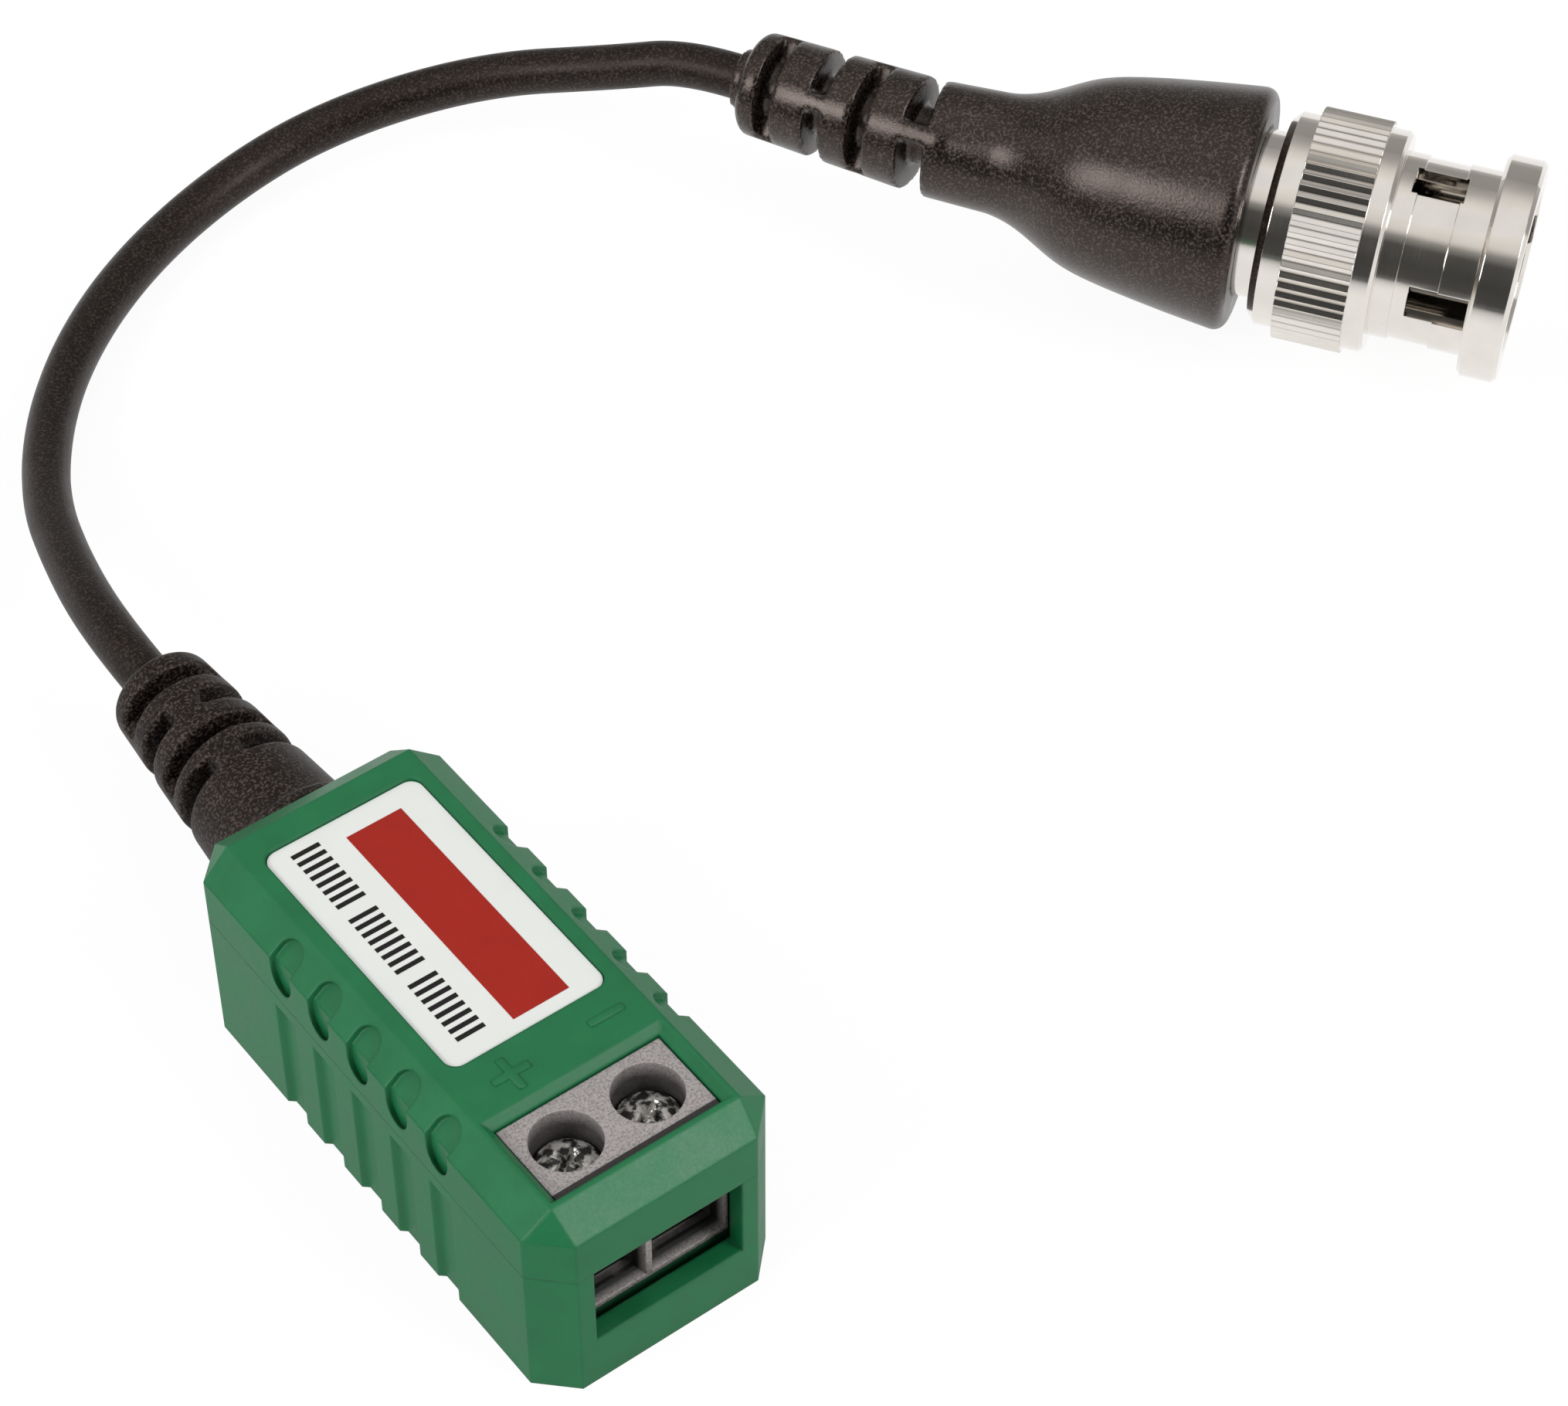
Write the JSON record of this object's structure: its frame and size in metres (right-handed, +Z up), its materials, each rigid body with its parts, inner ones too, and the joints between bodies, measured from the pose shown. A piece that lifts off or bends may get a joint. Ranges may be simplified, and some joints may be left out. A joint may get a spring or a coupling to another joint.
{
  "type": "passive cctv video balun",
  "caption": "Compact bevelled housing with a screw terminal in front and a short lead with moulded strain reliefs to a plated bayonet plug; carries camera video over twisted pair.",
  "frame": {"origin": "middle of the housing base, on the surface it lies on", "axes": "+Z up; the lead leaves the housing at +Y; the wire entries of the screw terminal face -Y; +X is the side on which the plug lies"},
  "size_m": [0.101, 0.0929, 0.0158],
  "materials": {
    "housing": "fine satin moulded ABS",
    "label": "printed paper-film sticker",
    "terminal": "moulded grey",
    "screw_steel": "nickel plated",
    "clamp_metal": "nickel plated",
    "contact_metal": "tinned",
    "board": "glass fibre board",
    "ferrite": "sintered ferrite",
    "enamel_wire": "enamelled copper",
    "component_black": "moulded epoxy",
    "ceramic": "dipped ceramic",
    "wire_insulation": "extruded",
    "soft_pvc": "soft moulded vinyl",
    "nickel": "bright nickel plate",
    "plug_insulator": "white",
    "gold": "gold flash",
    "silicone": "silicone",
    "spring_steel": "spring steel"
  },
  "bodies": {
    "balun": {"top_cover": "housing", "bottom_cover": "housing", "label": "label", "terminal_body": "terminal", "terminal_contact_left": "contact_metal", "terminal_contact_right": "contact_metal", "circuit_board": "board", "transformer_core": "ferrite", "transformer_winding": "enamel_wire", "surge_suppressor": "component_black", "ceramic_capacitor": "ceramic", "chip_resistor": "component_black", "core_lead": "wire_insulation", "shield_lead": "wire_insulation", "housing_strain_relief": "soft_pvc", "cable": "soft_pvc", "plug_boot": "soft_pvc", "plug_body": "nickel", "plug_insulator": "plug_insulator", "plug_centre_pin": "gold", "plug_gasket": "silicone", "retaining_ring": "spring_steel", "spring_washer": "spring_steel"},
    "left_screw": {"terminal_screw_left": "screw_steel"},
    "right_screw": {"terminal_screw_right": "screw_steel"},
    "left_clamp": {"wire_clamp_left": "clamp_metal"},
    "right_clamp": {"wire_clamp_right": "clamp_metal"},
    "nut_carrier": {"thrust_washer": "spring_steel"},
    "nut": {"coupling_nut": "nickel"}
  },
  "joints": [
    {"name": "left_screw_turn", "type": "hinge", "parent": "balun", "child": "left_screw", "pos_m": [-0.00254, -0.0116, 0.0109], "axis": [0, 0, 1], "range_deg": [-1440, 0]},
    {"name": "left_clamp_rise", "type": "slide", "parent": "balun", "child": "left_clamp", "axis": [0, 0, 1], "range_m": [0, 0.002]},
    {"name": "right_screw_turn", "type": "hinge", "parent": "balun", "child": "right_screw", "pos_m": [0.00254, -0.0116, 0.0109], "axis": [0, 0, 1], "range_deg": [-1440, 0]},
    {"name": "right_clamp_rise", "type": "slide", "parent": "balun", "child": "right_clamp", "axis": [0, 0, 1], "range_m": [0, 0.002]},
    {"name": "nut_draw", "type": "slide", "parent": "balun", "child": "nut_carrier", "axis": [0.583, -0.8114, -0.0415], "range_m": [0, 0.0005], "stiffness_N_per_m": 3000, "springref_m": -0.0002},
    {"name": "nut_turn", "type": "hinge", "parent": "nut_carrier", "child": "nut", "pos_m": [0.08274, 0.01888, 0.0075], "axis": [0.583, -0.8114, -0.0415], "continuous": true}
  ],
  "couplings": [
    {"joint": "left_screw_turn", "follows": "left_clamp_rise", "rad_per_m": -12566},
    {"joint": "right_screw_turn", "follows": "right_clamp_rise", "rad_per_m": -12566}
  ]
}
